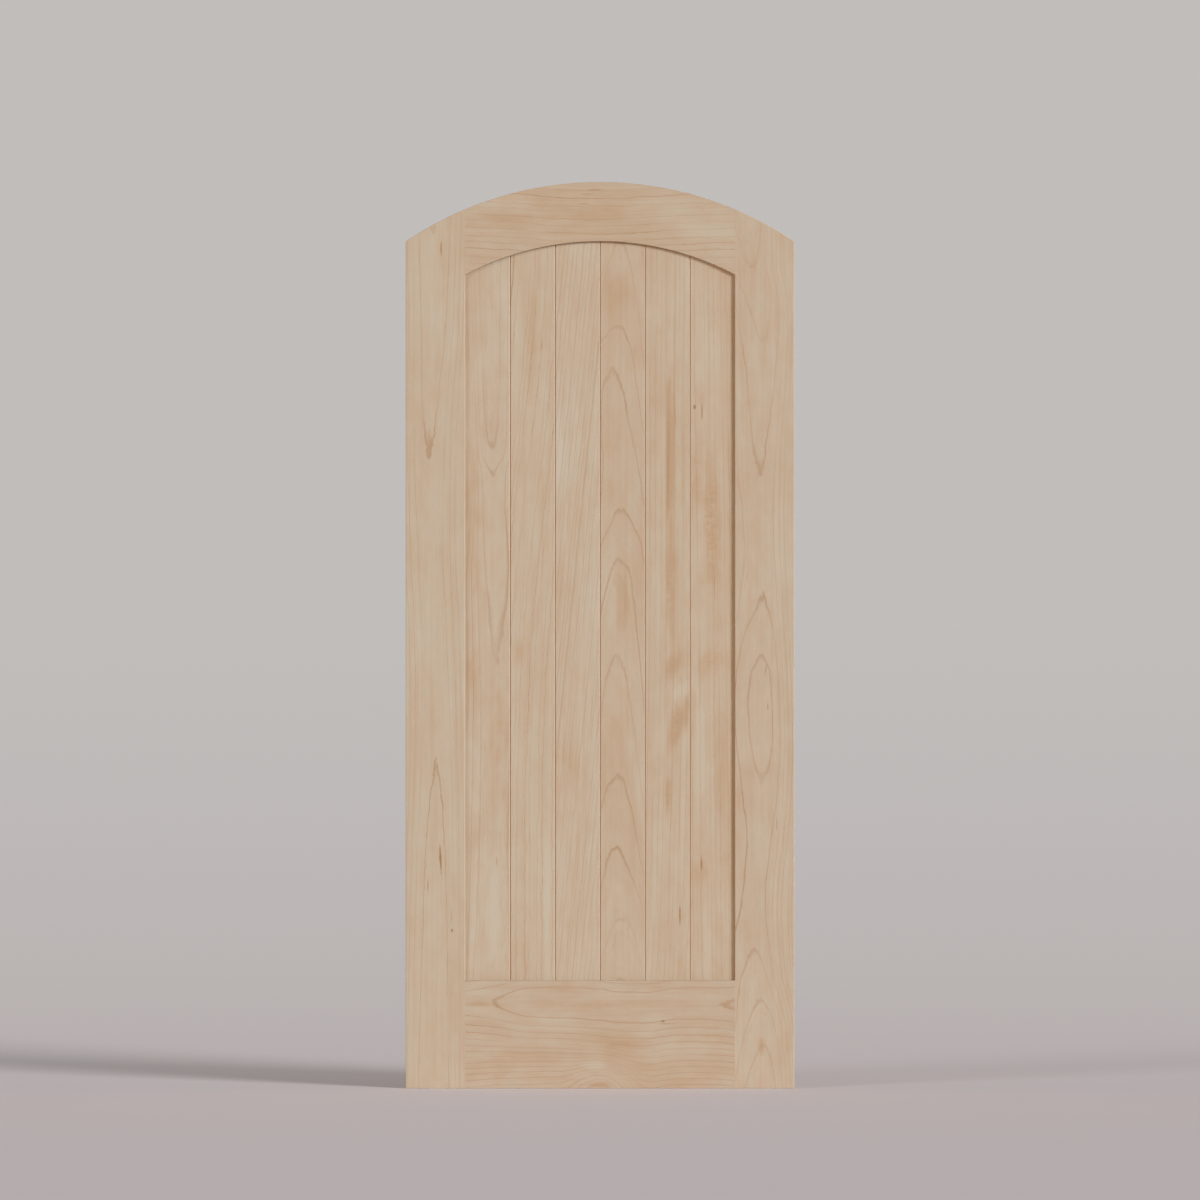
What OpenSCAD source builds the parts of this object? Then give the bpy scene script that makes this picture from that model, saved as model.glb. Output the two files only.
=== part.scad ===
// Arched door leaf of solid maple: a frame of stiles and rails round a field of V-jointed planks.
// The leaf stands on its base. X runs across it, Y through its thickness with the front towards -Y,
// and Z up. The origin is the middle of the base.

/* [Leaf] */
// Width of the leaf
leaf_w = 914.4; // [760:0.1:1220]
// Height from the base to the crown of the arch
leaf_h = 2133.6; // [1770:0.1:2600]
// Thickness of the stiles and rails
leaf_t = 44.45; // [37:0.05:57]
// Rise of the arch, from its springing at the outer edges to its crown
arch_rise = 139.7; // [100:0.1:220]

/* [Frame] */
// Face width of each stile
stile_w = 139.7; // [110:0.1:170]
// Face width of the arched top rail
top_rail_w = 139.7; // [115:0.1:170]
// Height of the bottom rail
bottom_rail_h = 254; // [200:0.1:320]
// Depth of the groove in the inner edges of the frame
groove_d = 12.7; // [9:0.1:16]
// Width of the easing on the outer arrises and round the opening
easing = 1; // [0.4:0.1:2]

/* [Planks] */
// Number of planks across the field
plank_n = 6; // [4:1:8]
// Thickness of the planks
plank_t = 22.2; // [15:0.05:27]
// Length of the tongue along one edge of each plank
tongue_l = 8; // [5:0.1:11]
// Thickness of the tongue
tongue_t = 6.35; // [4.5:0.05:8]
// Width of each V joint, across the bevels of both planks
v_joint_w = 3.8; // [2:0.1:7]

/* [Dowels] */
// Diameter of the dowels
dowel_d = 15.9; // [9.5:0.1:19]
// Length of the dowels
dowel_l = 101.6; // [80:0.1:124]
// Number of dowels in each end of the top rail
top_dowels = 2; // [1:1:2]
// Number of dowels in each end of the bottom rail
bottom_dowels = 4; // [1:1:4]
// Least wood between a hole in the top rail's end and the groove below it or the arch above it
top_dowel_wood = 14; // [8:0.1:16]
// Distance of the outermost dowels' middles from the base and from the bottom rail's groove
bottom_dowel_inset = 40; // [25:1:50]
// Number of glue flutes round each dowel
flute_n = 16; // [8:1:24]
// Depth of a flute, which is a V
flute_d = 0.6; // [0.3:0.1:1]
// Length of the chamfer on a dowel's ends
dowel_tip = 2; // [1:0.1:4]

/* [Clearances] */
// Between a plank or a stub tongue and each cheek of the frame's groove
groove_fit = 0.1; // [0.05:0.05:0.3]
// Between the end of a stub tongue and the bottom of the groove
stub_gap = 0.5; // [0.3:0.1:1.5]
// Between an outer plank and the bottom of the stile's groove, for the planks to swell
swell_gap = 2.5; // [1.5:0.1:4]
// Between the top ends of the planks and the bottom of the top rail's groove
head_gap = 2; // [1:0.1:4]
// Between the edges of neighbouring planks
plank_gap = 0.6; // [0.2:0.1:1]
// Between the end of a tongue and the bottom of its slot
tongue_gap = 1; // [0.5:0.1:2]
// Between a tongue and each cheek of its slot
tongue_fit = 0.1; // [0.05:0.05:0.2]
// Between a dowel and the wall of its hole, all round
dowel_fit = 0.1; // [0.05:0.05:0.2]
// Between each end of a dowel and the bottom of its hole
glue_room = 1.5; // [1:0.1:3]

/* [Hidden] */
$fn = 96;
arch_fn = 720;
// How far a cutter runs past the face that it cuts, and a joined block into its neighbour
over = 2;

stile_colour = [0.80, 0.70, 0.58];
rail_colour = [0.76, 0.65, 0.53];
plank_colour = [0.84, 0.75, 0.63];
dowel_colour = [0.70, 0.53, 0.38];

// The arch: both edges of the top rail, its groove and the planks' ends are arcs about one centre.
arch_r = (pow(leaf_w / 2, 2) + pow(arch_rise, 2)) / (2 * arch_rise);
arch_z = leaf_h - arch_r;
sight_r = arch_r - top_rail_w;
groove_r = sight_r + groove_d;
plank_end_r = groove_r - head_gap;
// Height of an arc of radius r at a distance x from the middle line
function arc_z(r, x) = arch_z + sqrt(r * r - x * x);

// The frame
edge_x = leaf_w / 2;
shoulder_x = edge_x - stile_w;
groove_x = shoulder_x + groove_d;
groove_z = bottom_rail_h - groove_d;
groove_w = plank_t + 2 * groove_fit;
stub_x = groove_x - stub_gap;

// The planks: all show the same width between the stiles.
plank_pitch = 2 * shoulder_x / plank_n;
plank_edge_x = groove_x - swell_gap;
bevel = (v_joint_w - plank_gap) / 2;
slot_l = tongue_l - plank_gap + tongue_gap;
slot_w = tongue_t + 2 * tongue_fit;

// The dowels cross each joint of rail and stile, half in each.
hole_r = dowel_d / 2 + dowel_fit;
hole_l = dowel_l + 2 * glue_room;
function spread(low, high, n) =
    n == 1 ? [(low + high) / 2] : [for (i = [0 : n - 1]) low + i * (high - low) / (n - 1)];
top_dowel_zs = spread(
    arc_z(groove_r, shoulder_x - hole_l / 2) + top_dowel_wood + hole_r,
    arc_z(arch_r, shoulder_x + hole_l / 2) - top_dowel_wood - hole_r,
    top_dowels
);
bottom_dowel_zs = spread(bottom_dowel_inset, groove_z - bottom_dowel_inset, bottom_dowels);
// Each corner's dowels: their name, the side of the leaf and their heights
dowel_sets = [
    ["dowel_top_left_", -1, top_dowel_zs],
    ["dowel_top_right_", 1, top_dowel_zs],
    ["dowel_bottom_left_", -1, bottom_dowel_zs],
    ["dowel_bottom_right_", 1, bottom_dowel_zs],
];

// A block of thickness t, in the middle of the leaf's thickness, from x0 to x1 and from z0 to z1
module slab(x0, x1, t, z0, z1) {
    translate([x0, -t / 2, z0]) cube([x1 - x0, t, z1 - z0]);
}

// Everything below an arc of radius r about the arch's centre, t thick
module under_arc(r, t) {
    translate([0, t / 2, arch_z]) rotate([90, 0, 0]) cylinder(r = r, h = t, $fn = arch_fn);
    slab(-r, r, t, -leaf_h, arch_z);
}

// A strip of the leaf's section from x0 to x1, with its four corners eased
module eased_strip(x0, x1) {
    side = leaf_t / 2;
    polygon([
        [x0, easing - side], [x0 + easing, -side], [x1 - easing, -side], [x1, easing - side],
        [x1, side - easing], [x1 - easing, side], [x0 + easing, side], [x0, side - easing]
    ]);
}

// The outline of the whole leaf, with the arrises eased down both sides, along the base and over the arch
module leaf_outline() {
    intersection() {
        translate([0, 0, -over]) linear_extrude(leaf_h + 2 * over) eased_strip(-edge_x, edge_x);
        rotate([0, -90, 0]) linear_extrude(2 * leaf_w, center = true) eased_strip(0, 2 * leaf_h);
        union() {
            translate([0, 0, arch_z]) rotate([90, 0, 0]) rotate_extrude($fn = arch_fn)
                intersection() {
                    eased_strip(-arch_r, arch_r);
                    translate([0, -leaf_t / 2]) square([arch_r, leaf_t]);
                }
            slab(-arch_r, arch_r, leaf_t, -leaf_h, arch_z);
        }
    }
}

// The cutters that ease the arrises round the opening, one at each face, widening outwards at 45 degrees
module opening_easing() {
    depth = easing + over;
    inner = leaf_t / 2 - easing;
    outer = inner + depth;
    for (face = [0, 1]) mirror([0, face, 0]) intersection() {
        linear_extrude(leaf_h) polygon([
            [-shoulder_x, inner], [shoulder_x, inner],
            [shoulder_x + depth, outer], [-shoulder_x - depth, outer]
        ]);
        rotate([90, 0, 90]) linear_extrude(leaf_w, center = true) polygon([
            [inner, bottom_rail_h], [inner, leaf_h], [outer, leaf_h], [outer, bottom_rail_h - depth]
        ]);
        union() {
            translate([0, inner, arch_z]) rotate([-90, 0, 0])
                cylinder(r1 = sight_r, r2 = sight_r + depth, h = depth, $fn = arch_fn);
            translate([-leaf_w, inner, 0]) cube([2 * leaf_w, depth, arch_z]);
        }
    }
}

module dowel_holes() {
    for (s = dowel_sets) for (z = s[2])
        translate([s[1] * shoulder_x - hole_l / 2, 0, z]) rotate([0, 90, 0]) cylinder(r = hole_r, h = hole_l);
}

module stile_right() {
    color(stile_colour) difference() {
        intersection() {
            leaf_outline();
            slab(shoulder_x, edge_x, leaf_t, 0, leaf_h);
        }
        slab(shoulder_x - over, groove_x, groove_w, -over, leaf_h + over);
        opening_easing();
        dowel_holes();
    }
}

module stile_left() {
    mirror([1, 0, 0]) stile_right();
}

module top_rail() {
    color(rail_colour) difference() {
        union() {
            intersection() {
                leaf_outline();
                slab(-shoulder_x, shoulder_x, leaf_t, arch_z, leaf_h);
            }
            intersection() {
                under_arc(arch_r, plank_t);
                slab(-stub_x, stub_x, plank_t, arch_z, leaf_h);
            }
        }
        under_arc(sight_r, leaf_t + 2 * over);
        under_arc(groove_r, groove_w);
        opening_easing();
        dowel_holes();
    }
}

module bottom_rail() {
    color(rail_colour) difference() {
        union() {
            intersection() {
                leaf_outline();
                slab(-shoulder_x, shoulder_x, leaf_t, 0, bottom_rail_h);
            }
            slab(-stub_x, stub_x, plank_t, 0, groove_z);
        }
        slab(-leaf_w, leaf_w, groove_w, groove_z, leaf_h);
        opening_easing();
        dowel_holes();
    }
}

// Section of plank i: a slot in its left edge, a tongue on its right edge, and bevels where it meets
// another plank. The outer edges of the first and last planks are plain, and sit in the stiles.
module plank_section(i) {
    first = i == 1;
    last = i == plank_n;
    left = first ? -plank_edge_x : -shoulder_x + (i - 1) * plank_pitch + plank_gap / 2;
    right = last ? plank_edge_x : -shoulder_x + i * plank_pitch - plank_gap / 2;
    difference() {
        translate([left, -plank_t / 2]) square([right - left, plank_t]);
        for (x = [if (!first) left, if (!last) right]) for (y = [-plank_t / 2, plank_t / 2])
            translate([x, y]) rotate(45) square(bevel * sqrt(2), center = true);
        if (!first) translate([left - over, -slot_w / 2]) square([slot_l + over, slot_w]);
    }
    if (!last) translate([right - over, -tongue_t / 2]) square([tongue_l + over, tongue_t]);
}

module plank(i) {
    color(plank_colour) intersection() {
        translate([0, 0, groove_z]) linear_extrude(leaf_h) plank_section(i);
        under_arc(plank_end_r, leaf_t);
    }
}

// A fluted dowel on its own axis, with chamfered ends
module dowel() {
    r = dowel_d / 2;
    color(dowel_colour) intersection() {
        linear_extrude(dowel_l, center = true) difference() {
            circle(r = r);
            for (i = [1 : flute_n]) rotate(i * 360 / flute_n) translate([r, 0]) circle(r = flute_d, $fn = 4);
        }
        rotate_extrude() polygon([
            [0, -dowel_l / 2], [r - dowel_tip / 2, -dowel_l / 2], [r, dowel_tip - dowel_l / 2],
            [r, dowel_l / 2 - dowel_tip], [r - dowel_tip / 2, dowel_l / 2], [0, dowel_l / 2]
        ]);
    }
}

stile_left();
stile_right();
top_rail();
bottom_rail();
for (i = [1 : plank_n])
    plank(i);
for (s = dowel_sets) for (i = [1 : len(s[2])])
    translate([s[1] * shoulder_x, 0, s[2][i - 1]]) rotate([0, 90, 0]) dowel();
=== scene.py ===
# An arched maple door leaf, standing on a pale studio floor.
# The boards are finished copies of the frame's own solids.
# The dowels inside the joints stay as they are.
import bpy
import bmesh
import math
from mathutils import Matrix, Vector


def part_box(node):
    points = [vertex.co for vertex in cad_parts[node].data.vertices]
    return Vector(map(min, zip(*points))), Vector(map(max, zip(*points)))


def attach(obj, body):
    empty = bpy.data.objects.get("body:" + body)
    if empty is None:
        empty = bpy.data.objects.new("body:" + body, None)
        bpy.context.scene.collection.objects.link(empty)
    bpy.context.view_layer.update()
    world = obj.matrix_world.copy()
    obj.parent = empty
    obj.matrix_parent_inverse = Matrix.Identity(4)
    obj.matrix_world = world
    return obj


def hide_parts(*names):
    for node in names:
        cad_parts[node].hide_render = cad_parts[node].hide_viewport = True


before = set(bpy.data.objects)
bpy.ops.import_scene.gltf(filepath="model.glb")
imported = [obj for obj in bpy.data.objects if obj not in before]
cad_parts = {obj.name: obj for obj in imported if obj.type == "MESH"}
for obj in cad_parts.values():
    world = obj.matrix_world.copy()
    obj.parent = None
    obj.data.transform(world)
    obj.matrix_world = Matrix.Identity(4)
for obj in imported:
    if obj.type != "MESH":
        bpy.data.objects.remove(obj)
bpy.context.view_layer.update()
print("frame loaded:", len(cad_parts), "solids")

# camera
# in metres, but for the sensor in mm; view is the width seen at the leaf's face
camera = {"distance": 27.5, "height": 1.1496, "view": 2.8245, "sensor": 36,
          "near": 0.5, "far": 2000}

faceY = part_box("stile_left")[0].y
cameraData = bpy.data.cameras.new("camera")
cameraData.sensor_width = camera["sensor"]
cameraData.lens = camera["sensor"] * camera["distance"] / camera["view"]
cameraData.clip_start = camera["near"]
cameraData.clip_end = camera["far"]
cameraObject = bpy.data.objects.new("camera", cameraData)
cameraObject.location = (0, faceY - camera["distance"], camera["height"])
cameraObject.rotation_euler = (math.radians(90), 0, 0)
bpy.context.collection.objects.link(cameraObject)
bpy.context.scene.camera = cameraObject
bpy.context.scene.view_settings.view_transform = "Standard"
bpy.context.scene.cycles.use_denoising = True
print("camera set")


# shader helpers
def addNode(tree, kind, inputs=(), **settings):
    node = tree.nodes.new(kind)
    for name, value in settings.items():
        setattr(node, name, value)
    for key, value in dict(inputs).items():
        if isinstance(value, bpy.types.NodeSocket):
            tree.links.new(value, node.inputs[key])
        else:
            node.inputs[key].default_value = value
    return node


def calc(tree, operation, *values, clamp=False):
    node = addNode(tree, "ShaderNodeMath", enumerate(values), operation=operation)
    node.use_clamp = clamp
    return node.outputs[0]


def remap(tree, value, low, high, newLow=0.0, newHigh=1.0, smooth=False):
    kind = "SMOOTHSTEP" if smooth else "LINEAR"
    node = addNode(tree, "ShaderNodeMapRange", {0: value, 1: low, 2: high, 3: newLow, 4: newHigh},
                   interpolation_type=kind)
    return node.outputs[0]


def noise(tree, vector, scale, stretch, detail=2.0, rough=0.5):
    placed = addNode(tree, "ShaderNodeMapping", {"Vector": vector, "Scale": stretch})
    node = addNode(tree, "ShaderNodeTexNoise", {"Vector": placed.outputs[0], "Scale": scale,
                                                "Detail": detail, "Roughness": rough})
    return node.outputs[0]


def mixColour(tree, factor, first, second, blend="MIX"):
    node = addNode(tree, "ShaderNodeMix", data_type="RGBA", blend_type=blend)
    sockets = (node.inputs[0], node.inputs[6], node.inputs[7])
    for socket, value in zip(sockets, (factor, first, second)):
        if isinstance(value, bpy.types.NodeSocket):
            tree.links.new(value, socket)
        elif isinstance(value, (int, float)):
            socket.default_value = value
        else:
            socket.default_value = (*value, 1)
    return node.outputs[2]


def newGroup(name, inputs, outputs):
    tree = bpy.data.node_groups.new(name, "ShaderNodeTree")
    for label, kind in inputs.items():
        tree.interface.new_socket(label, in_out="INPUT", socket_type="NodeSocket" + kind)
    for label, kind in outputs.items():
        tree.interface.new_socket(label, in_out="OUTPUT", socket_type="NodeSocket" + kind)
    start = tree.nodes.new("NodeGroupInput")
    end = tree.nodes.new("NodeGroupOutput")
    return tree, start.outputs, end.inputs


def useGroup(tree, group, **inputs):
    node = tree.nodes.new("ShaderNodeGroup")
    node.node_tree = group
    for key, value in inputs.items():
        socket = node.inputs[key]
        if isinstance(value, bpy.types.NodeSocket):
            tree.links.new(value, socket)
        else:
            socket.default_value = value
    return node.outputs


def handCurve(tree, value, points):
    # a smooth curve through (along, value) points, both in their own units
    first, last = points[0][0], points[-1][0]
    bottom = min(p[1] for p in points)
    top = max(p[1] for p in points)
    span = max(top - bottom, 1e-6)
    place = remap(tree, value, first, last)
    node = addNode(tree, "ShaderNodeFloatCurve", {"Value": place})
    line = node.mapping.curves[0]
    line.points[0].location = (0, (points[0][1] - bottom) / span)
    line.points[1].location = (1, (points[-1][1] - bottom) / span)
    for along, height in points[1:-1]:
        line.points.new((along - first) / (last - first), (height - bottom) / span)
    node.mapping.update()
    return calc(tree, "MULTIPLY_ADD", node.outputs[0], span, bottom)


# pale, tan and corner multiply the wood's colour; corner is a painted shadow, a warm tint where the
# frame's shadow falls on the field
maple = {
    "ground": (0.505, 0.378, 0.266), "pale": (1.043, 1.12, 1.205), "tan": (0.94, 0.825, 0.73),
    "late": (0.395, 0.252, 0.146), "mark": (0.33, 0.17, 0.075), "fleck": (0.27, 0.16, 0.085),
    # crease: painted shade, a dark warm brown in the V joints' flanks that face away from the key
    # light
    "endGrain": (0.32, 0.21, 0.125), "creaseShade": (0.50, 0.22, 0.075), "pinkDrift": (1.016, 1, 0.994),
    "greenDrift": (0.984, 1, 1.006), "middleShade": 0.40, "roughness": 0.62,
    "corner": (1.2, 1.02, 0.80), "shadeOver": 0.0085, "shadeDown": 0.0036, "shadeSoft": 0.0025,
    "specular": 0.35, "bump": 0.25, "bumpDepth": 0.0002,
    "mottle": 0.8, "streak": 0.8, "ringTone": 0.14,  # how much each adds to the shade
    "creaseShadeStart": (0.0001, 0.0006), "creaseShadeStop": (0.0025, 0.004),  # depths below the face
}
# how finely each noise is divided: across the face, into the board, along the grain
stretches = {
    "slow": (9, 9, 1.6), "quick": (45, 45, 17), "tiny": (170, 170, 60), "patch": (14, 14, 4),
    "drift": (31, 31, 17), "broad": (13, 13, 4.5), "mottle": (42, 42, 19),
    "streak": (120, 120, 2.0), "fine": (900, 900, 26), "dash": (1500, 1500, 170),
    "ragged": (90, 90, 60), "ripple": (48, 48, 130), "strand": (70, 70, 8),
}


# the maple's effects
# Each group reads the grain's own axes:
# X across the board's face, Y into its depth, Z along the grain.
spotSockets = {"Grain": "Vector", "Across": "Float", "Along": "Float", "Width": "Float",
               "Length": "Float", "Lean": "Float"}


def hillock(tree, axes, given, edge, ragged=None):
    # 1 at the middle of an ellipse, fading to 0 at its rim
    up = calc(tree, "SUBTRACT", axes[2], given["Along"])
    over = calc(tree, "SUBTRACT", calc(tree, "SUBTRACT", axes[0], given["Across"]),
                calc(tree, "MULTIPLY", up, given["Lean"]))
    over = calc(tree, "DIVIDE", over, given["Width"])
    up = calc(tree, "DIVIDE", up, given["Length"])
    far = calc(tree, "SQRT", calc(tree, "ADD", calc(tree, "MULTIPLY", over, over),
                                  calc(tree, "MULTIPLY", up, up)))
    if ragged is not None:
        far = calc(tree, "ADD", far, ragged)
    return remap(tree, far, edge, 1.0, 1.0, 0.0, smooth=True)


def centred(tree, vector, stretch, detail=2.0, rough=0.5):
    return calc(tree, "SUBTRACT", noise(tree, vector, 1.0, stretch, detail, rough), 0.5)


def buildRings():
    tree, given, made = newGroup("growthRings", {
        "Grain": "Vector", "Middle": "Float", "Lift": "Float", "Pith": "Float", "Ring": "Float",
        "Skew": "Float", "Waver": "Float", "Uneven": "Float", "Line": "Float"},
        {"Line": "Float", "Tone": "Float", "Faint": "Float"})
    axes = addNode(tree, "ShaderNodeSeparateXYZ", {0: given["Grain"]}).outputs
    across = calc(tree, "SUBTRACT", axes[0], given["Middle"])
    depth = calc(tree, "ADD", axes[1], given["Pith"])
    radius = calc(tree, "SQRT", calc(tree, "ADD", calc(tree, "MULTIPLY", across, across),
                                     calc(tree, "MULTIPLY", depth, depth)))
    out = calc(tree, "DIVIDE", calc(tree, "SUBTRACT", radius, given["Pith"]), given["Ring"])
    side = remap(tree, across, -0.05, 0.05, -1, 1)
    out = calc(tree, "MULTIPLY", out, calc(tree, "MULTIPLY_ADD", side, given["Skew"], 1.0))
    slow = centred(tree, given["Grain"], stretches["slow"])
    quick = centred(tree, given["Grain"], stretches["quick"], 3, 0.6)
    tiny = centred(tree, given["Grain"], stretches["tiny"], 1)
    waver = calc(tree, "MULTIPLY", given["Waver"], calc(tree, "MULTIPLY_ADD", quick, 0.75, slow))
    waver = calc(tree, "MULTIPLY_ADD", tiny, 0.07, waver)
    phase = calc(tree, "ADD", calc(tree, "ADD", out, given["Lift"]), waver)
    spaced = addNode(tree, "ShaderNodeTexNoise", {"W": phase, "Scale": 0.6, "Detail": 0.0},
                     noise_dimensions="1D")
    phase = calc(tree, "MULTIPLY_ADD", spaced.outputs[0], given["Uneven"], phase)
    shifted = calc(tree, "ADD", phase, 0.5)
    number = calc(tree, "FLOOR", shifted)
    off = calc(tree, "SUBTRACT", calc(tree, "SUBTRACT", shifted, number), 0.5)
    chance = addNode(tree, "ShaderNodeTexWhiteNoise", {"W": number},
                     noise_dimensions="1D").outputs[0]
    early = remap(tree, off, calc(tree, "MULTIPLY", given["Line"], -2.4), 0.0, smooth=True)
    late = remap(tree, off, 0.0, calc(tree, "MULTIPLY", given["Line"], 0.8), 1.0, 0.0, smooth=True)
    line = calc(tree, "MULTIPLY", calc(tree, "MULTIPLY", early, late),
                calc(tree, "MULTIPLY_ADD", chance, 0.55, 0.45))
    patch = remap(tree, noise(tree, given["Grain"], 1.0, stretches["patch"], 2),
                  0.3, 0.62, 0.35, 1.1)
    tree.links.new(calc(tree, "MULTIPLY", line, patch), made["Line"])
    tree.links.new(calc(tree, "SUBTRACT", chance, 0.5), made["Tone"])
    fine = calc(tree, "MULTIPLY_ADD", phase, 3.3, calc(tree, "MULTIPLY", quick, 1.6))
    folded = calc(tree, "ABSOLUTE", calc(tree, "SUBTRACT", calc(tree, "FRACT", fine), 0.5))
    which = addNode(tree, "ShaderNodeTexWhiteNoise", {"W": calc(tree, "FLOOR", fine)},
                    noise_dimensions="1D")
    faint = calc(tree, "MULTIPLY", remap(tree, folded, 0.0, 0.2, 1.0, 0.0, smooth=True),
                 calc(tree, "POWER", which.outputs[0], 2.0))
    tree.links.new(faint, made["Faint"])
    return tree


def buildFibre():
    tree, given, made = newGroup("fibre", {"Grain": "Vector"}, {
        "Broad": "Float", "Mottle": "Float", "Streak": "Float", "Fine": "Float", "Fleck": "Float",
        "Drift": "Float"})
    grain = given["Grain"]
    tree.links.new(centred(tree, grain, stretches["drift"], 2, 0.6), made["Drift"])
    tree.links.new(centred(tree, grain, stretches["broad"], 2, 0.5), made["Broad"])
    tree.links.new(centred(tree, grain, stretches["mottle"], 3, 0.55), made["Mottle"])
    tree.links.new(centred(tree, grain, stretches["streak"], 3, 0.6), made["Streak"])
    tree.links.new(centred(tree, grain, stretches["fine"], 3, 0.65), made["Fine"])
    dash = noise(tree, grain, 1.0, stretches["dash"], 1, 0.5)
    tree.links.new(remap(tree, dash, 0.66, 0.76, smooth=True), made["Fleck"])
    return tree


def buildMark():
    # a short streak or a pin knot, with a soft ragged edge
    tree, given, made = newGroup("mark", {**spotSockets, "Soft": "Float"}, {"Mask": "Float"})
    axes = addNode(tree, "ShaderNodeSeparateXYZ", {0: given["Grain"]}).outputs
    ragged = calc(tree, "MULTIPLY", centred(tree, given["Grain"], stretches["ragged"], 3), 0.8)
    edge = calc(tree, "SUBTRACT", 1.0, given["Soft"])
    mask = hillock(tree, axes, given, edge, ragged)
    tree.links.new(mask, made["Mask"])
    return tree


def buildCloud():
    # a broad soft patch, torn across the grain into ripples
    tree, given, made = newGroup("cloud", {**spotSockets, "Torn": "Float", "Cut": "Float"},
                                 {"Mask": "Float"})
    axes = addNode(tree, "ShaderNodeSeparateXYZ", {0: given["Grain"]}).outputs
    ripple = centred(tree, given["Grain"], stretches["ripple"], 3, 0.6)
    strand = centred(tree, given["Grain"], stretches["strand"], 2, 0.5)
    ragged = calc(tree, "MULTIPLY_ADD", ripple, calc(tree, "MULTIPLY", given["Torn"], 0.5),
                  calc(tree, "MULTIPLY", strand, 0.8))
    mask = hillock(tree, axes, given, 0.0, ragged)
    curl = calc(tree, "MULTIPLY_ADD", ripple, calc(tree, "MULTIPLY", given["Torn"], 2.4), 1.15)
    clear = calc(tree, "SUBTRACT", axes[0], given["Cut"])
    mask = calc(tree, "MULTIPLY", mask, remap(tree, clear, -0.001, 0.002, smooth=True))
    tree.links.new(calc(tree, "MULTIPLY", mask, curl), made["Mask"])
    return tree


def buildFinish():
    # puts the effects together into the colour, roughness and height of sanded, unfinished maple,
    # with painted light on the arrises and painted shade in the V joints
    tree, given, made = newGroup("sandedMaple", {
        "Pale": "Color", "Tan": "Color", "Late": "Color", "Line": "Float", "Faint": "Float",
        "Shade": "Float", "Drift": "Float",
        "Fine": "Float", "Fleck": "Float", "Arris": "Float", "Edge": "Color", "Crease": "Float",
        "End": "Float"}, {"Color": "Color", "Roughness": "Float", "Height": "Float"})
    shade = calc(tree, "MULTIPLY_ADD", given["Fine"], -0.35, given["Shade"])
    colour = mixColour(tree, shade, given["Pale"], given["Tan"])
    colour = mixColour(tree, remap(tree, shade, 0.85, 2.0, 0.0, 0.6), colour, given["Late"])
    drift = mixColour(tree, calc(tree, "MULTIPLY_ADD", given["Drift"], 1.6, 0.5),
                      maple["pinkDrift"], maple["greenDrift"])
    colour = mixColour(tree, 1.0, colour, drift, "MULTIPLY")
    laidOver = (("Line", 0.95, given["Late"]), ("Faint", 0.2, given["Late"]),
                ("Fleck", 0.25, maple["fleck"]), ("End", 0.55, maple["endGrain"]),
                ("Arris", 0.75, given["Edge"]), ("Crease", 1.0, maple["creaseShade"]))
    for label, strength, over in laidOver:
        colour = mixColour(tree, calc(tree, "MULTIPLY", given[label], strength, clamp=True),
                           colour, over)
    tree.links.new(colour, made["Color"])
    rough = calc(tree, "MULTIPLY_ADD", given["Line"], -0.06, maple["roughness"])
    rough = calc(tree, "MULTIPLY_ADD", given["Fine"], 0.10, rough)
    tree.links.new(calc(tree, "MULTIPLY_ADD", given["End"], 0.12, rough), made["Roughness"])
    height = calc(tree, "MULTIPLY_ADD", given["Line"], 0.5, given["Fine"])
    tree.links.new(calc(tree, "MULTIPLY_ADD", given["Fleck"], -0.5, height), made["Height"])
    return tree


def buildPaintedFrameShadow():
    # 1 where the frame's shadow falls on the field, beside the right stile and below the arch: a
    # painted shadow, found by shifting the grain along the key light
    tree, given, made = newGroup("corner", {
        "Grain": "Vector", "Side": "Float", "ArchZ": "Float", "ArchRadius": "Float",
        "Over": "Float", "Down": "Float", "Soft": "Float", "Middle": "Float"}, {"Mask": "Float"})
    axes = addNode(tree, "ShaderNodeSeparateXYZ", {0: given["Grain"]}).outputs
    x = calc(tree, "ADD", axes[0], given["Over"])
    up = calc(tree, "MAXIMUM", calc(tree, "ADD", calc(tree, "SUBTRACT", axes[2], given["ArchZ"]),
                                    given["Down"]), 0.0)
    out = calc(tree, "SQRT", calc(tree, "ADD", calc(tree, "MULTIPLY", x, x),
                                  calc(tree, "MULTIPLY", up, up)))
    near = calc(tree, "MINIMUM", calc(tree, "SUBTRACT", given["Side"], x),
                calc(tree, "SUBTRACT", given["ArchRadius"], out))
    shade = remap(tree, near, calc(tree, "MULTIPLY", given["Soft"], -1.0), given["Soft"], 1.0, 0.0,
                  smooth=True)
    front = calc(tree, "LESS_THAN", axes[1], given["Middle"])  # the back stands in no such shade
    tree.links.new(calc(tree, "MULTIPLY", shade, front), made["Mask"])
    return tree


def buildSwell():
    # a smooth hillock in the rings' lift
    tree, given, made = newGroup("swell", spotSockets, {"Mask": "Float"})
    axes = addNode(tree, "ShaderNodeSeparateXYZ", {0: given["Grain"]}).outputs
    tree.links.new(hillock(tree, axes, given, 0.0), made["Mask"])
    return tree


rings, fibre, mark = buildRings(), buildFibre(), buildMark()
cloud, sandedMaple = buildCloud(), buildFinish()
corner, swell = buildPaintedFrameShadow(), buildSwell()
print("maple effects built")
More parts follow.
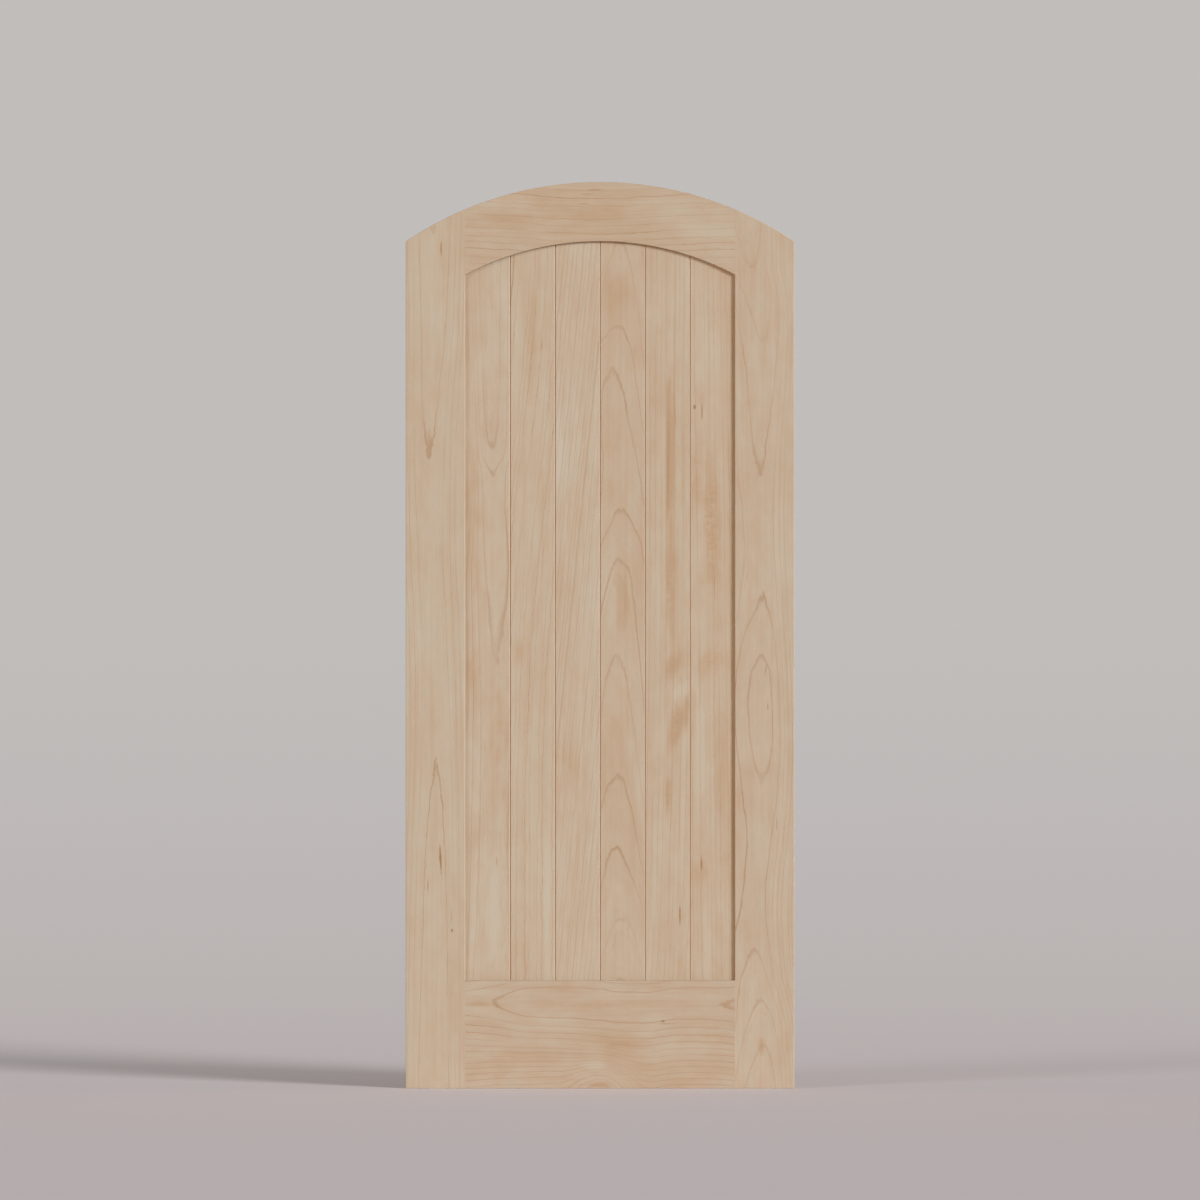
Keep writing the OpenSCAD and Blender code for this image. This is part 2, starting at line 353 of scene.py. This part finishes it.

# the boards' own figures
# middle and lift are curves along the grain, in metres: where the rings' middle lies across the
# face, and how many rings have come in. An arch or a V lies wherever lift passes a whole number.
# swells: across, along, width, length, lean, rings added there.
# clouds: across, along, width, length, lean, torn, shade; shade above 0 is darker, below 0 paler.
# marks: across, along, width, length, lean, softness, strength.
# lines: how strong the late wood's lines are. cut: left of it a board has no clouds.
# tint: multiplies the ground colour. bold and streaky: how much the shade varies.
# arris and edge: strength and colour of the painted light on a board's eased edges, a pale
# highlight by default; crease: strength of the painted shade in the V joints
bareFigure = {
    "pith": 0.18, "ring": 0.0035, "skew": 0.0, "waver": 0.35, "uneven": 0.0, "line": 0.055,
    "lines": 1.0, "bold": 1.0, "streaky": 1.0, "tint": (1, 1, 1), "swells": [], "clouds": [],
    "marks": [], "seed": 0.0, "arris": 0.0, "edge": (0.72, 0.58, 0.44), "creaseShade": 0.0, "cut": -9.0,
}
plankFigure = {"creaseShade": 0.8, "arris": 0.8}
figures = {
    "stile_left": {
        "middle": [(0, -0.392), (0.56, -0.388), (0.76, -0.386), (1.1, -0.392), (1.47, -0.402),
                   (1.8, -0.392), (2.1, -0.39)],
        "lift": [(0, -1.0), (0.35, -0.7), (0.66, -0.22), (0.76, 0), (0.84, 0.14), (1.1, 0.35),
                 (1.3, 0.28), (1.467, 0), (1.785, -0.67), (2.1, -1.2)],
        "tint": (0.968, 1.008, 1.011), "seed": 3.1, "bold": 0.8,
        "line": 0.034, "lines": 1.3, "arris": 1.0,
        "clouds": [(-0.402, 1.515, 0.008, 0.05, 0, 0.2, 0.5),
                   (-0.385, 0.66, 0.012, 0.11, 0, 0.2, 0.25)],
        "marks": [(-0.374, 1.975, 0.0022, 0.028, 0.0, 0.7, 0.8),
                  (-0.3755, 0.54, 0.0032, 0.042, -0.05, 0.6, 1.0),
                  (-0.405, 0.478, 0.0018, 0.02, 0.02, 0.7, 0.7),
                  (-0.3485, 0.372, 0.0035, 0.005, 0, 0.5, 0.8),
                  (-0.350, 0.40, 0.0012, 0.025, 0, 0.8, 0.5)]},
    "stile_right": {
        "middle": [(0, 0.384), (0.102, 0.384), (0.215, 0.374), (0.349, 0.3625), (0.714, 0.3837),
                   (1.027, 0.379), (1.168, 0.381), (1.444, 0.3766), (1.75, 0.3837), (1.936, 0.3578),
                   (2.1, 0.35)],
        "lift": [(0, -3.8), (0.102, -3), (0.215, -2), (0.349, -1), (0.5, -0.45), (0.714, -1),
                 (0.88, -1.5), (1.027, -1), (1.168, 0), (1.3, 0.3), (1.444, 0), (1.75, -1),
                 (1.936, -2), (2.1, -3)],
        "pith": 0.22, "skew": 0.4, "tint": (0.963, 0.979, 0.971), "seed": 11.7, "bold": 0.9,
        "line": 0.045, "arris": 1.0, "lines": [(0, 1.5), (0.9, 1.5), (1.3, 1.0), (2.1, 0.9)],
        "clouds": [(0.379, 0.1, 0.012, 0.03, 0, 0.2, 0.5), (0.381, 1.07, 0.014, 0.06, 0, 0.2, 0.3)],
        "marks": [(0.39, 0.985, 0.003, 0.02, 0.1, 0.9, 0.5),
                  (0.395, 0.898, 0.0018, 0.012, 0, 0.7, 0.7),
                  (0.4166, 0.62, 0.0018, 0.02, 0, 0.7, 0.7)]},
    "plank_1": {
        "middle": [(0.24, -0.262), (0.8, -0.25), (1.04, -0.243), (1.39, -0.252), (1.5, -0.254),
                   (1.9, -0.262)],
        "lift": [(0.24, 0.1), (0.7, 0.5), (1.037, 0), (1.25, -0.45), (1.444, -1), (1.503, -2),
                 (1.6, -2.4), (1.75, -2.6), (1.9, -2.7)],
        "ring": [(0.24, 0.0035), (1.1, 0.0035), (1.3, 0.0022), (1.45, 0.0013), (1.9, 0.0014)],
        "pith": 0.30, "skew": -0.35, "lines": 1.15, "tint": (0.977, 1.005, 1.004), "seed": 23.9,
        "waver": 0.3, "bold": 1.15,
        "clouds": [(-0.3, 0.93, 0.035, 0.16, 0, 0.5, 0.22),
                   (-0.25, 0.40, 0.026, 0.15, 0, 0.2, -0.7), (-0.3, 1.35, 0.03, 0.3, 0, 0.4, 0.2)],
        "marks": [(-0.243, 0.533, 0.002, 0.015, 0, 0.7, 0.5)]},
    "plank_2": {
        "middle": [(0.24, -1.18), (0.9, -1.17), (1.3, -1.14), (1.6, -1.105), (1.95, -1.075)],
        "lift": [(0.24, 0), (2, 0.1)], "pith": 0.05, "ring": 0.0155, "line": 0.055, "lines": 1.5,
        "waver": 1.1, "uneven": 1.3, "tint": (0.975, 1.004, 0.992), "seed": 31.4, "bold": 0.8,
        "clouds": [(-0.165, 1.78, 0.035, 0.16, 0, 0.3, 0.3),
                   (-0.19, 1.03, 0.018, 0.05, 0, 0.3, 0.3),
                   (-0.127, 0.45, 0.018, 0.2, 0, 0.2, -0.35)],
        "marks": [(-0.137, 1.75, 0.0016, 0.016, 0, 0.7, 0.5)]},
    "plank_3": {
        "middle": [(0.24, -1.11), (2, -0.93)], "lift": [(0.24, 0), (2, 0.1)], "pith": 0.05,
        "ring": 0.0105, "line": 0.08, "lines": 0.9, "waver": 0.7, "uneven": 1.2,
        "tint": (0.985, 1.026, 1.038), "seed": 47.2, "bold": 0.9, "streaky": 1.3,
        "clouds": [(-0.096, 1.48, 0.02, 0.13, 0, 0.2, -0.5)]},
    "plank_4": {
        "middle": [(0.24, 0.05), (0.408, 0.0494), (0.568, 0.0377), (0.747, 0.04), (1.008, 0.04),
                   (1.25, 0.0494), (1.37, 0.0518), (1.69, 0.0306), (1.80, 0.0424), (2.0, 0.045)],
        "lift": [(0.24, -0.1), (0.408, 1), (0.568, 2), (0.747, 3), (1.008, 4), (1.25, 5), (1.37, 6),
                 (1.69, 7), (1.80, 8), (2.0, 9)],
        "pith": 0.40, "waver": 0.34, "bold": 0.85, "line": 0.038,
        "lines": [(0.24, 0.8), (0.408, 0.8), (0.568, 1.1), (0.747, 1.0), (1.008, 1.7), (1.25, 1.2),
                  (1.37, 1.0), (1.69, 1.4), (1.80, 0.9), (2.0, 0.7)],
        "tint": (0.958, 0.959, 0.936), "seed": 58.3,
        "clouds": [(0.05, 1.14, 0.022, 0.11, 0, 0.2, 0.45), (0.05, 1.87, 0.06, 0.1, 0, 0.3, 0.3)]},
    "plank_5": {
        "middle": [(0.24, -0.95), (0.7, -0.93), (2, -0.92)], "lift": [(0.24, 0), (2, 0.1)],
        "pith": 0.05, "ring": 0.013, "line": 0.07, "lines": 0.8, "waver": 0.6, "uneven": 1.2,
        "bold": 1.0, "streaky": 1.2, "tint": (0.973, 0.996, 0.984), "seed": 63.0, "cut": 0.1545,
        "clouds": [(0.163, 1.5, 0.022, 0.27, 0, 0.5, 1.1), (0.166, 1.2, 0.026, 0.19, 0, 1.4, 0.62),
                   (0.172, 0.995, 0.034, 0.05, 0.3, 1.4, 0.7),
                   (0.182, 0.855, 0.034, 0.095, 0.35, 1.2, 0.95),
                   (0.158, 0.684, 0.018, 0.06, 0, 1.4, 0.6),
                   (0.19, 0.935, 0.03, 0.03, 0.3, 0.4, -0.5),
                   (0.195, 0.6, 0.02, 0.2, 0, 0.3, -0.3), (0.196, 1.5, 0.018, 0.2, 0, 0.3, 0.4)],
        "marks": [(0.1605, 1.46, 0.0035, 0.2, 0.01, 1.0, 0.45),
                  (0.176, 1.60, 0.0018, 0.08, -0.06, 0.9, 0.4),
                  (0.188, 0.408, 0.003, 0.034, 0, 0.7, 0.9)]},
    "plank_6": {
        "middle": [(0.24, -0.8), (2, -0.82)], "lift": [(0.24, 0), (2, 0.1)], "pith": 0.05,
        "ring": 0.014, "line": 0.07, "lines": 0.7, "waver": 0.7, "uneven": 1.2, "bold": 1.0,
        "tint": (0.976, 0.987, 0.966), "seed": 77.7,
        "clouds": [(0.262, 1.34, 0.034, 0.25, 0, 1.9, 0.5), (0.228, 1.45, 0.022, 0.14, 0, 1.8, 0.4),
                   (0.26, 1.01, 0.05, 0.06, 0.3, 1.2, 0.4), (0.235, 0.51, 0.03, 0.04, 0, 1.2, 0.28),
                   (0.236, 0.8, 0.02, 0.16, 0, 0.4, -0.6), (0.25, 1.72, 0.06, 0.12, 0, 0.4, -0.3),
                   (0.285, 0.75, 0.02, 0.25, 0, 0.3, 0.3)],
        "marks": [(0.2225, 1.604, 0.0045, 0.0075, 0, 0.7, 1.0),
                  (0.24, 1.59, 0.002, 0.026, 0, 0.7, 0.9), (0.239, 0.53, 0.003, 0.024, 0, 0.7, 0.9),
                  (0.269, 1.185, 0.0016, 0.06, 0, 0.9, 0.6)]},
    "top_rail": {
        "middle": [(-0.33, 0.884), (-0.2, 0.891), (-0.03, 0.9), (0.1, 0.895), (0.2, 0.889),
                   (0.33, 0.885)],
        "lift": [(-0.33, 0), (0.33, 0.1)], "pith": 0.05, "ring": 0.0165, "line": 0.045,
        "lines": 1.4, "waver": 0.8, "uneven": 1.0, "bold": 1.0, "tint": (0.944, 0.939, 0.901),
        "seed": 85.5,
        "clouds": [(-2.04, -0.24, 0.03, 0.14, 0, 0.2, 0.3), (-2.06, 0.0, 0.035, 0.16, 0, 0.2, 0.25),
                   (-2.02, 0.25, 0.03, 0.12, 0, 0.2, -0.45)],
        "marks": [(-2.115, -0.012, 0.0015, 0.024, 0, 0.8, 0.8),
                  (-2.105, -0.03, 0.0013, 0.02, 0, 0.8, 0.7),
                  (-2.082, -0.04, 0.0014, 0.016, 0, 0.8, 0.6)]},
    "bottom_rail": {
        "middle": [(-0.33, -0.2), (-0.15, -0.203), (0, -0.197), (0.094, -0.19), (0.2, -0.2),
                   (0.33, -0.197)],
        "lift": [(-0.33, 0.5), (-0.247, 0), (-0.2, -0.5), (-0.15, -0.82), (0.1, -0.88),
                 (0.25, -0.93), (0.29, -1), (0.33, -1.25)],
        "pith": 0.05, "ring": 0.0135, "line": 0.05, "tint": (0.941, 0.946, 0.929), "seed": 92.6,
        # painted shade: the bottom rail's eased edges are painted dark brown, a shade line along
        # its top edge and its base
        "waver": 0.35, "lines": 1.5, "bold": 1.05, "arris": 0.25, "edge": (0.33, 0.215, 0.13),
        "swells": [(-0.03, -0.11, 0.11, 0.25, 0, 2.0), (-0.006, 0.008, 0.10, 0.11, 0, 4.2)],
        "clouds": [(-0.055, -0.012, 0.014, 0.04, 0, 0.2, -0.8),
                   (-0.19, 0.0, 0.03, 0.3, 0, 0.2, 0.3), (-0.2, -0.29, 0.012, 0.05, 0, 0.2, 0.5),
                   (-0.1, 0.05, 0.06, 0.1, 0, 0.2, 0.25), (-0.01, 0.0, 0.012, 0.045, 0, 0.2, 0.6)],
        "marks": [(-0.158, 0.148, 0.0035, 0.006, 0, 0.6, 0.9),
                  (-0.152, 0.156, 0.0022, 0.03, 0, 0.9, 0.5)]},
}


def grainCurve(tree, along, points):
    return handCurve(tree, along, points) if isinstance(points, list) else points


def mapleMaterial(name, turned, faceDepth):
    isPlank = name.startswith("plank")
    figure = {**bareFigure, **(plankFigure if isPlank else {}), **figures[name]}
    material = bpy.data.materials.new("maple_" + name)
    material.use_nodes = True
    tree = material.node_tree
    shader = tree.nodes["Principled BSDF"]
    shader.inputs["Specular IOR Level"].default_value = maple["specular"]
    place = addNode(tree, "ShaderNodeTexCoord").outputs["Object"]
    face = addNode(tree, "ShaderNodeTexCoord").outputs["Normal"]
    if turned:  # a rail's grain runs along X
        turn = (0, math.radians(-90), 0)
        place = addNode(tree, "ShaderNodeMapping", {"Vector": place, "Rotation": turn}).outputs[0]
        face = addNode(tree, "ShaderNodeMapping", {"Vector": face, "Rotation": turn}).outputs[0]
    place = addNode(tree, "ShaderNodeMapping", {"Vector": place,
                                                "Location": (0, faceDepth, 0)}).outputs[0]
    seeded = addNode(tree, "ShaderNodeMapping", {"Vector": place,
                                                 "Location": (0, figure["seed"], 0)}).outputs[0]
    axes = addNode(tree, "ShaderNodeSeparateXYZ", {0: place}).outputs
    along = axes[2]
    inward = calc(tree, "SUBTRACT", faceDepth, calc(tree, "ABSOLUTE",
                                                    calc(tree, "SUBTRACT", axes[1], faceDepth)))
    lift = handCurve(tree, along, figure["lift"])
    for across, alongAt, width, length, lean, amount in figure["swells"]:
        risen = useGroup(tree, swell, Grain=place, Across=across, Along=alongAt, Width=width,
                         Length=length, Lean=lean)["Mask"]
        lift = calc(tree, "MULTIPLY_ADD", risen, amount, lift)
    ring = useGroup(tree, rings, Grain=place,
                    Middle=grainCurve(tree, along, figure["middle"]), Lift=lift,
                    Pith=figure["pith"], Ring=grainCurve(tree, along, figure["ring"]),
                    Skew=figure["skew"], Waver=figure["waver"], Uneven=figure["uneven"],
                    Line=figure["line"])
    hair = useGroup(tree, fibre, Grain=seeded)
    shade = calc(tree, "MULTIPLY_ADD", hair["Broad"], figure["bold"], maple["middleShade"])
    shade = calc(tree, "MULTIPLY_ADD", hair["Mottle"], maple["mottle"] * figure["bold"], shade)
    shade = calc(tree, "MULTIPLY_ADD", hair["Streak"], maple["streak"] * figure["streaky"], shade)
    shade = calc(tree, "MULTIPLY_ADD", ring["Tone"], maple["ringTone"], shade)
    for across, alongAt, width, length, lean, torn, amount in figure["clouds"]:
        soft = useGroup(tree, cloud, Grain=seeded, Across=across, Along=alongAt, Width=width,
                        Length=length, Lean=lean, Torn=torn, Cut=figure["cut"])["Mask"]
        shade = calc(tree, "MULTIPLY_ADD", soft, amount, shade)
    parts = addNode(tree, "ShaderNodeSeparateXYZ", {0: face}).outputs
    end = remap(tree, calc(tree, "ABSOLUTE", parts[2]), 0.75, 0.95, smooth=True)
    flat = calc(tree, "ABSOLUTE", parts[1])
    arris = calc(tree, "MULTIPLY", remap(tree, flat, 0.35, 0.6, smooth=True),
                 remap(tree, flat, 0.85, 0.98, 1.0, 0.0, smooth=True))
    if not turned:  # the pale arris is a painted highlight, kept to the edges on a board's right-hand side, which face the key light
        arris = calc(tree, "MULTIPLY", arris, remap(tree, parts[0], 0.2, 0.5, smooth=True))
    # painted shade: dark warm brown on the V joints' left-facing flanks, the side turned from the
    # key light
    creaseShade = calc(tree, "MULTIPLY", remap(tree, inward, *maple["creaseShadeStart"], smooth=True),
                  remap(tree, inward, *maple["creaseShadeStop"], 1.0, 0.0, smooth=True))
    creaseShade = calc(tree, "MULTIPLY", creaseShade,
                  remap(tree, parts[0], -0.5, -0.2, 1.0, 0.0, smooth=True))
    tones = {key: (*[g * t * m for g, t, m in zip(maple["ground"], figure["tint"], maple[key])], 1)
             for key in ("pale", "tan")}
    finish = useGroup(tree, sandedMaple, Pale=tones["pale"], Tan=tones["tan"],
                      Late=(*maple["late"], 1),
                      Line=calc(tree, "MULTIPLY", ring["Line"],
                                grainCurve(tree, along, figure["lines"])),
                      Faint=ring["Faint"], Shade=shade, Drift=hair["Drift"], Fine=hair["Fine"],
                      Fleck=hair["Fleck"], Arris=calc(tree, "MULTIPLY", arris, figure["arris"]),
                      Edge=(*figure["edge"], 1),
                      Crease=calc(tree, "MULTIPLY", creaseShade, figure["creaseShade"]), End=end)
    colour = finish["Color"]
    for across, alongAt, width, length, lean, soft, strength in figure["marks"]:
        spot = useGroup(tree, mark, Grain=place, Across=across, Along=alongAt, Width=width,
                        Length=length, Lean=lean, Soft=soft)["Mask"]
        colour = mixColour(tree, calc(tree, "MULTIPLY", spot, strength), colour, maple["mark"])
    # painted shadow: the frame's shadow on the field, laid in as a warm tint
    if isPlank:
        paintedFrameShadow = useGroup(tree, corner, Grain=place, Side=opening["side"], ArchZ=archZ,
                            ArchRadius=opening["arch"], Over=maple["shadeOver"],
                            Down=maple["shadeDown"], Soft=maple["shadeSoft"],
                            Middle=faceDepth)["Mask"]
        colour = mixColour(tree, paintedFrameShadow, colour, maple["corner"], "MULTIPLY")
    tree.links.new(colour, shader.inputs["Base Color"])
    tree.links.new(finish["Roughness"], shader.inputs["Roughness"])
    bump = addNode(tree, "ShaderNodeBump", {"Height": finish["Height"], "Strength": maple["bump"],
                                            "Distance": maple["bumpDepth"]})
    tree.links.new(bump.outputs[0], shader.inputs["Normal"])
    return material


# the boards
# lengths are in metres and angles in degrees
boards = {
    # how wide the edges are rounded, and in how many steps
    "arris": 0.00035, "arrisSegments": 2, "joint": 0.00018, "vJoint": 0.0003,
    # which edges are runs of an arc, how finely they are divided, and how near counts as the same
    "archFrom": 1.8, "arcRun": 0.004, "arcCuts": 6, "arcBulge": 0.0007,
    "sameDepth": 1e-5, "sameRadius": 3e-5, "samePlane": 2e-5,
    # how near a face or plane counts as on it
    "easing": 0.0012, "faceBand": 0.0015, "near": 0.0001,
    # how close points are merged
    "cadWeld": 0.00002, "weld": 0.00001,
    # angles between faces: taken as flat, shaded as sharp, the eased edges, the square ones
    "flat": 0.3, "sharp": 30, "eased": (35, 55), "square": (80, 100),
}


def topPoint(node):
    return max((v.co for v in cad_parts[node].data.vertices), key=lambda p: p.z)


def archCentre():
    # the height of the arch's centre, from the top rail's crown and the highest corner of a stile
    crown, corner = topPoint("top_rail"), topPoint("stile_right")
    return (((crown.z ** 2 + crown.x ** 2) - (corner.z ** 2 + corner.x ** 2))
            / (2 * (crown.z - corner.z)))


archZ = archCentre()
print("arch centre at", round(archZ, 4))


def radiusOf(point):
    return math.hypot(point.x, point.z - archZ)


# the opening in the frame: half its width, and the radius of its arch
opening = {"side": -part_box("stile_left")[1].x,
           "arch": min(radiusOf(v.co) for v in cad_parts["top_rail"].data.vertices
                       if abs(v.co.y) > abs(faceY) - boards["near"])}


def mergedCopy(node):
    bm = bmesh.new()
    bm.from_mesh(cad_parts[node].data)
    bmesh.ops.remove_doubles(bm, verts=bm.verts, dist=boards["cadWeld"])
    bmesh.ops.dissolve_limit(bm, angle_limit=math.radians(boards["flat"]), verts=bm.verts,
                             edges=bm.edges)
    return bm


def roundArcs(bm, cuts, low, high, inside):
    # the frame's arcs are in short straight runs: these are divided and the new points pushed out
    arcs, sizes = [], set()
    for edge in bm.edges:
        a, b = (v.co for v in edge.verts)
        if (min(a.z, b.z) > boards["archFrom"] and abs(a.y) > inside
                and abs(a.y - b.y) < boards["sameDepth"]
                and abs(radiusOf(a) - radiusOf(b)) < boards["sameRadius"]
                and edge.calc_length() > boards["arcRun"]):
            arcs.append(edge)
            sizes.add((round(a.y, 5), round(radiusOf(a), 5)))
    old = set(bm.verts)
    bmesh.ops.subdivide_edges(bm, edges=arcs, cuts=cuts, use_grid_fill=True)
    for v in bm.verts:
        if v in old:
            continue
        r = radiusOf(v.co)
        near = [size for y, size in sizes if abs(y - v.co.y) < boards["samePlane"]
                and -boards["sameDepth"] < size - r < boards["arcBulge"]]
        if near:
            grow = min(near) / r
            v.co.x = max(min(v.co.x * grow, high.x), low.x)
            v.co.z = min(archZ + (v.co.z - archZ) * grow, high.z)


def faceAngle(edge):
    return math.degrees(edge.calc_face_angle(0)) if len(edge.link_faces) == 2 else 0


def easeEdges(bm, edges, width, segments):
    if edges:
        bmesh.ops.bevel(bm, geom=edges, offset=width, offset_type="OFFSET", segments=segments,
                        profile=0.5, affect="EDGES", clamp_overlap=True, material=-1)


def finishBoard(node, material):
    low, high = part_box(node)
    bm = mergedCopy(node)
    if not node.startswith("plank"):  # a plank's top is out of sight in the groove
        roundArcs(bm, boards["arcCuts"], low, high,
                  -low.y - boards["faceBand"] if node.startswith("stile") else 0)
    front = [e for e in bm.edges if boards["eased"][0] < faceAngle(e) < boards["eased"][1]
             and min(abs(v.co.y) for v in e.verts) > abs(low.y) - boards["easing"]]
    width = boards["vJoint"] if node.startswith("plank") else boards["arris"]
    easeEdges(bm, front, width, boards["arrisSegments"])
    if not node.startswith("plank"):  # the square arrises where stile and rail butt together
        square = [e for e in bm.edges if boards["square"][0] < faceAngle(e) < boards["square"][1]
                  and all(abs(abs(v.co.x) - opening["side"]) < boards["near"]
                          and abs(v.co.y) > abs(low.y) - boards["near"] for v in e.verts)]
        easeEdges(bm, square, boards["joint"], 1)
    bmesh.ops.remove_doubles(bm, verts=bm.verts, dist=boards["weld"])
    for face in bm.faces:
        face.smooth = True
    for edge in bm.edges:
        edge.smooth = faceAngle(edge) < boards["sharp"]
    mesh = bpy.data.meshes.new("finished_" + node)
    bm.to_mesh(mesh)
    bm.free()
    mesh.materials.append(material)
    board = bpy.data.objects.new("finished_" + node, mesh)
    bpy.context.collection.objects.link(board)
    weighted = board.modifiers.new("weighted", "WEIGHTED_NORMAL")
    weighted.keep_sharp = True
    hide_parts(node)
    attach(board, "root")
    return board


finishedBoards = []
for name in figures:
    rail = name.endswith("rail")
    finishedBoards.append(finishBoard(name, mapleMaterial(name, rail, -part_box(name)[0].y)))
print("boards finished:", len(finishedBoards))

# the dowels
beech = {"ground": (0.43, 0.27, 0.155), "dark": (0.30, 0.17, 0.09), "fleck": (0.16, 0.08, 0.04),
         "roughness": 0.6}


def beechMaterial():
    material = bpy.data.materials.new("beech_dowel")
    material.use_nodes = True
    tree = material.node_tree
    shader = tree.nodes["Principled BSDF"]
    place = addNode(tree, "ShaderNodeTexCoord").outputs["Object"]
    place = addNode(tree, "ShaderNodeMapping", {"Vector": place,
                                                "Rotation": (0, math.radians(-90), 0)}).outputs[0]
    hair = useGroup(tree, fibre, Grain=place)
    colour = mixColour(tree, remap(tree, hair["Streak"], -0.2, 0.25),
                       beech["ground"], beech["dark"])
    colour = mixColour(tree, calc(tree, "MULTIPLY", hair["Fleck"], 0.6), colour, beech["fleck"])
    tree.links.new(colour, shader.inputs["Base Color"])
    tree.links.new(calc(tree, "MULTIPLY_ADD", hair["Fine"], 0.2, beech["roughness"]),
                   shader.inputs["Roughness"])
    return material


dowelWood = beechMaterial()
for name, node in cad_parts.items():
    if name.startswith("dowel"):
        for slotOf in node.material_slots:
            slotOf.material = dowelWood
print("dowels done")

# floor, world and lights
studio = {
    "floor": (0.797, 0.719, 0.719), "floorRadius": 400, "floorSides": 96,
    "horizon": (0.533, 0.509, 0.497), "fadeStart": 3.0, "fade": 11.0, "sky": 0.30,
    # the key, and the fill that mirrors it from the left; angles in degrees
    "azimuth": 41, "elevation": 16, "softness": 20, "keyStrength": 2.48, "fillStrength": 0.647,
    "backAzimuth": 215, "backElevation": 25, "backSoftness": 40, "backStrength": 1.6,
}


def buildFloor():
    bm = bmesh.new()
    bmesh.ops.create_circle(bm, cap_ends=True, radius=studio["floorRadius"],
                            segments=studio["floorSides"])
    mesh = bpy.data.meshes.new("floor")
    bm.to_mesh(mesh)
    bm.free()
    floor = bpy.data.objects.new("floor", mesh)
    bpy.context.collection.objects.link(floor)
    material = bpy.data.materials.new("floor")
    material.use_nodes = True
    tree = material.node_tree
    shader = tree.nodes["Principled BSDF"]
    shader.inputs["Base Color"].default_value = (*studio["floor"], 1)
    shader.inputs["Roughness"].default_value = 1.0
    shader.inputs["Specular IOR Level"].default_value = 0.0
    # far out the floor fades into the backdrop's own colour
    place = addNode(tree, "ShaderNodeTexCoord").outputs["Object"]
    place = addNode(tree, "ShaderNodeMapping", {"Vector": place,
                                                "Location": (0, studio["fadeStart"], 0)}).outputs[0]
    far = addNode(tree, "ShaderNodeVectorMath", {0: place}, operation="LENGTH").outputs["Value"]
    far = calc(tree, "MAXIMUM", calc(tree, "SUBTRACT", far, studio["fadeStart"]), 0.0)
    share = calc(tree, "DIVIDE", far, calc(tree, "ADD", far, studio["fade"]))
    glow = addNode(tree, "ShaderNodeEmission", {"Color": (*studio["horizon"], 1), "Strength": 1.0})
    mix = addNode(tree, "ShaderNodeMixShader", {0: share, 1: shader.outputs[0], 2: glow.outputs[0]})
    tree.links.new(mix.outputs[0], tree.nodes["Material Output"].inputs["Surface"])
    mesh.materials.append(material)


def buildWorld():
    world = bpy.data.worlds.new("studio")
    bpy.context.scene.world = world
    world.use_nodes = True
    tree = world.node_tree
    seen = tree.nodes["Background"]
    seen.inputs["Color"].default_value = (*studio["horizon"], 1)
    lit = addNode(tree, "ShaderNodeBackground", {"Color": (1, 1, 1, 1), "Strength": studio["sky"]})
    ray = addNode(tree, "ShaderNodeLightPath").outputs["Is Camera Ray"]
    mix = addNode(tree, "ShaderNodeMixShader", {0: ray, 1: lit.outputs[0], 2: seen.outputs[0]})
    tree.links.new(mix.outputs[0], tree.nodes["World Output"].inputs["Surface"])


def addSun(name, azimuth, elevation, strength, softness):
    # azimuth is measured from straight in front, towards the right
    data = bpy.data.lights.new(name, "SUN")
    data.energy = strength
    data.angle = math.radians(softness)
    sun = bpy.data.objects.new(name, data)
    a, e = math.radians(azimuth), math.radians(elevation)
    towards = Vector((math.sin(a) * math.cos(e), -math.cos(a) * math.cos(e), math.sin(e)))
    sun.rotation_euler = towards.to_track_quat("Z", "Y").to_euler()
    sun.location = towards * 5
    bpy.context.collection.objects.link(sun)
    return sun


buildFloor()
buildWorld()
addSun("key", studio["azimuth"], studio["elevation"], studio["keyStrength"], studio["softness"])
addSun("fill", -studio["azimuth"], studio["elevation"], studio["fillStrength"], studio["softness"])
backLight = addSun("back", studio["backAzimuth"], studio["backElevation"], studio["backStrength"],
                   studio["backSoftness"])
# the back light falls on the leaf and not on the floor
leafOnly = bpy.data.collections.new("leaf only")
for piece in finishedBoards:
    leafOnly.objects.link(piece)
backLight.light_linking.receiver_collection = leafOnly
print("studio lit")
